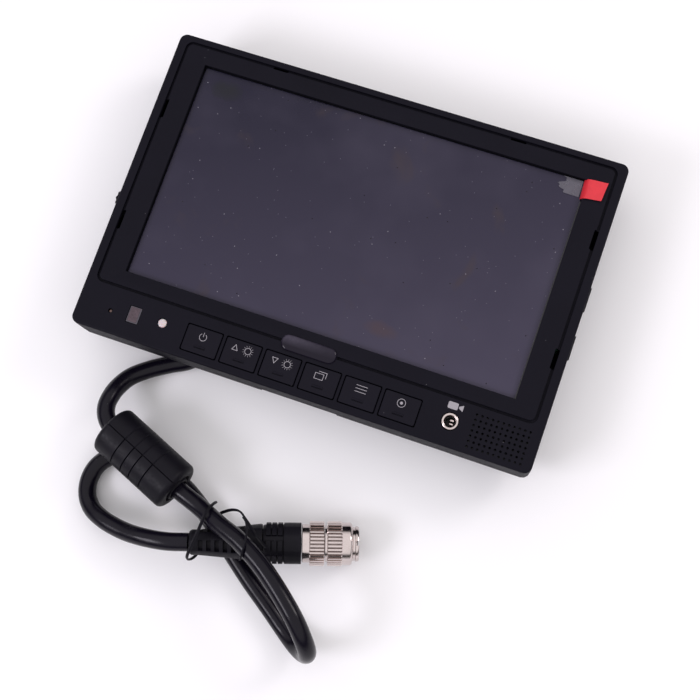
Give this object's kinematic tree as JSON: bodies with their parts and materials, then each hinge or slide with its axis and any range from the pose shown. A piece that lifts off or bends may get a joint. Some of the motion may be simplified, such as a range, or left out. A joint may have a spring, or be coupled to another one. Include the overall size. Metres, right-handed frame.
{
  "type": "reversing camera monitor",
  "caption": "Flat wide-screen vehicle monitor lying on its back, with front keys, jack, loudspeaker grille and a captive lead with ferrite and metal circular plug.",
  "frame": {"origin": "middle of the monitor's footprint on the surface that it lies on, the lead left out", "axes": "+X to the right of the screen, +Y to the top of the screen, +Z out of the screen"},
  "size_m": [0.1856, 0.214, 0.033],
  "materials": {
    "case_plastic": "fine matt grain",
    "key_plastic": "fine matt",
    "lens_black": "polished",
    "smoked_window": "smooth, translucent brown",
    "lens_milk": "milky",
    "screen_glass": "semi-gloss polariser",
    "clear_film": "thin clear film",
    "tab_red": "satin",
    "foam": "matt",
    "white_plastic": "matt",
    "board_green": "solder mask",
    "component_black": "matt",
    "moulded_black": "satin",
    "cable_jacket": "glossy PVC",
    "ferrite_grey": "fired",
    "insert_black": "matt",
    "sheet_steel": "plated",
    "screw_steel": "black zinc",
    "nickel": "bright nickel",
    "pin_gold": "gold plated"
  },
  "bodies": {
    "monitor": {"front_bezel": "case_plastic", "rear_cover": "case_plastic", "mount_plate": "sheet_steel", "lcd_tray": "sheet_steel", "backlight_unit": "white_plastic", "lcd_panel": "screen_glass", "screen_gasket": "foam", "protective_film": "clear_film", "pull_tab_tape": "clear_film", "pull_tab": "tab_red", "key_board": "board_green", "side_key_board": "board_green", "volume_pot": "component_black", "ir_window": "smoked_window", "ir_receiver": "component_black", "indicator_lens": "lens_milk", "indicator_led": "lens_milk", "key_light_lens": "lens_black", "av_jack_body": "component_black", "av_jack_ring": "nickel", "av_jack_contact": "nickel", "speaker": "component_black", "main_board": "board_green", "case_screw_1": "screw_steel", "case_screw_2": "screw_steel", "case_screw_3": "screw_steel", "case_screw_4": "screw_steel", "case_screw_5": "screw_steel", "case_screw_6": "screw_steel", "board_screw_1": "screw_steel", "board_screw_2": "screw_steel", "board_screw_3": "screw_steel", "board_screw_4": "screw_steel", "cable_gland": "moulded_black", "cable": "cable_jacket", "ferrite_shell_left": "moulded_black", "ferrite_shell_right": "moulded_black", "ferrite_core": "ferrite_grey", "connector_boot": "moulded_black", "connector_body": "moulded_black", "clamp_nut": "nickel", "nose_shell": "nickel", "pin_insert": "insert_black", "contact_pin_1": "pin_gold", "contact_pin_2": "pin_gold", "contact_pin_3": "pin_gold", "contact_pin_4": "pin_gold", "twist_tie": "moulded_black"},
    "power_key": {"power_key": "key_plastic"},
    "up_key": {"up_key": "key_plastic"},
    "down_key": {"down_key": "key_plastic"},
    "channel_key": {"channel_key": "key_plastic"},
    "menu_key": {"menu_key": "key_plastic"},
    "select_key": {"select_key": "key_plastic"},
    "upper_side_key": {"upper_side_key": "key_plastic"},
    "lower_side_key": {"lower_side_key": "key_plastic"},
    "volume_wheel": {"volume_wheel": "key_plastic"},
    "coupling_sleeve": {"coupling_sleeve": "nickel"}
  },
  "joints": [
    {"name": "power_key_press", "type": "slide", "parent": "monitor", "child": "power_key", "axis": [0, 0, -1], "range_m": [0, 0.0005], "stiffness_N_per_m": 600},
    {"name": "up_key_press", "type": "slide", "parent": "monitor", "child": "up_key", "axis": [0, 0, -1], "range_m": [0, 0.0005], "stiffness_N_per_m": 600},
    {"name": "down_key_press", "type": "slide", "parent": "monitor", "child": "down_key", "axis": [0, 0, -1], "range_m": [0, 0.0005], "stiffness_N_per_m": 600},
    {"name": "channel_key_press", "type": "slide", "parent": "monitor", "child": "channel_key", "axis": [0, 0, -1], "range_m": [0, 0.0005], "stiffness_N_per_m": 600},
    {"name": "menu_key_press", "type": "slide", "parent": "monitor", "child": "menu_key", "axis": [0, 0, -1], "range_m": [0, 0.0005], "stiffness_N_per_m": 600},
    {"name": "select_key_press", "type": "slide", "parent": "monitor", "child": "select_key", "axis": [0, 0, -1], "range_m": [0, 0.0005], "stiffness_N_per_m": 600},
    {"name": "upper_side_key_press", "type": "slide", "parent": "monitor", "child": "upper_side_key", "axis": [-1, 0, 0], "range_m": [0, 0.0004], "stiffness_N_per_m": 600},
    {"name": "lower_side_key_press", "type": "slide", "parent": "monitor", "child": "lower_side_key", "axis": [-1, 0, 0], "range_m": [0, 0.0004], "stiffness_N_per_m": 600},
    {"name": "volume_wheel_turn", "type": "hinge", "parent": "monitor", "child": "volume_wheel", "pos_m": [-0.08735, -0.0091, 0.0236], "axis": [0, 0, 1], "range_deg": [-140, 140]},
    {"name": "coupling_pull", "type": "slide", "parent": "monitor", "child": "coupling_sleeve", "axis": [-0.9397, -0.3206, 0.1194], "range_m": [0, 0.001], "stiffness_N_per_m": 400}
  ]
}
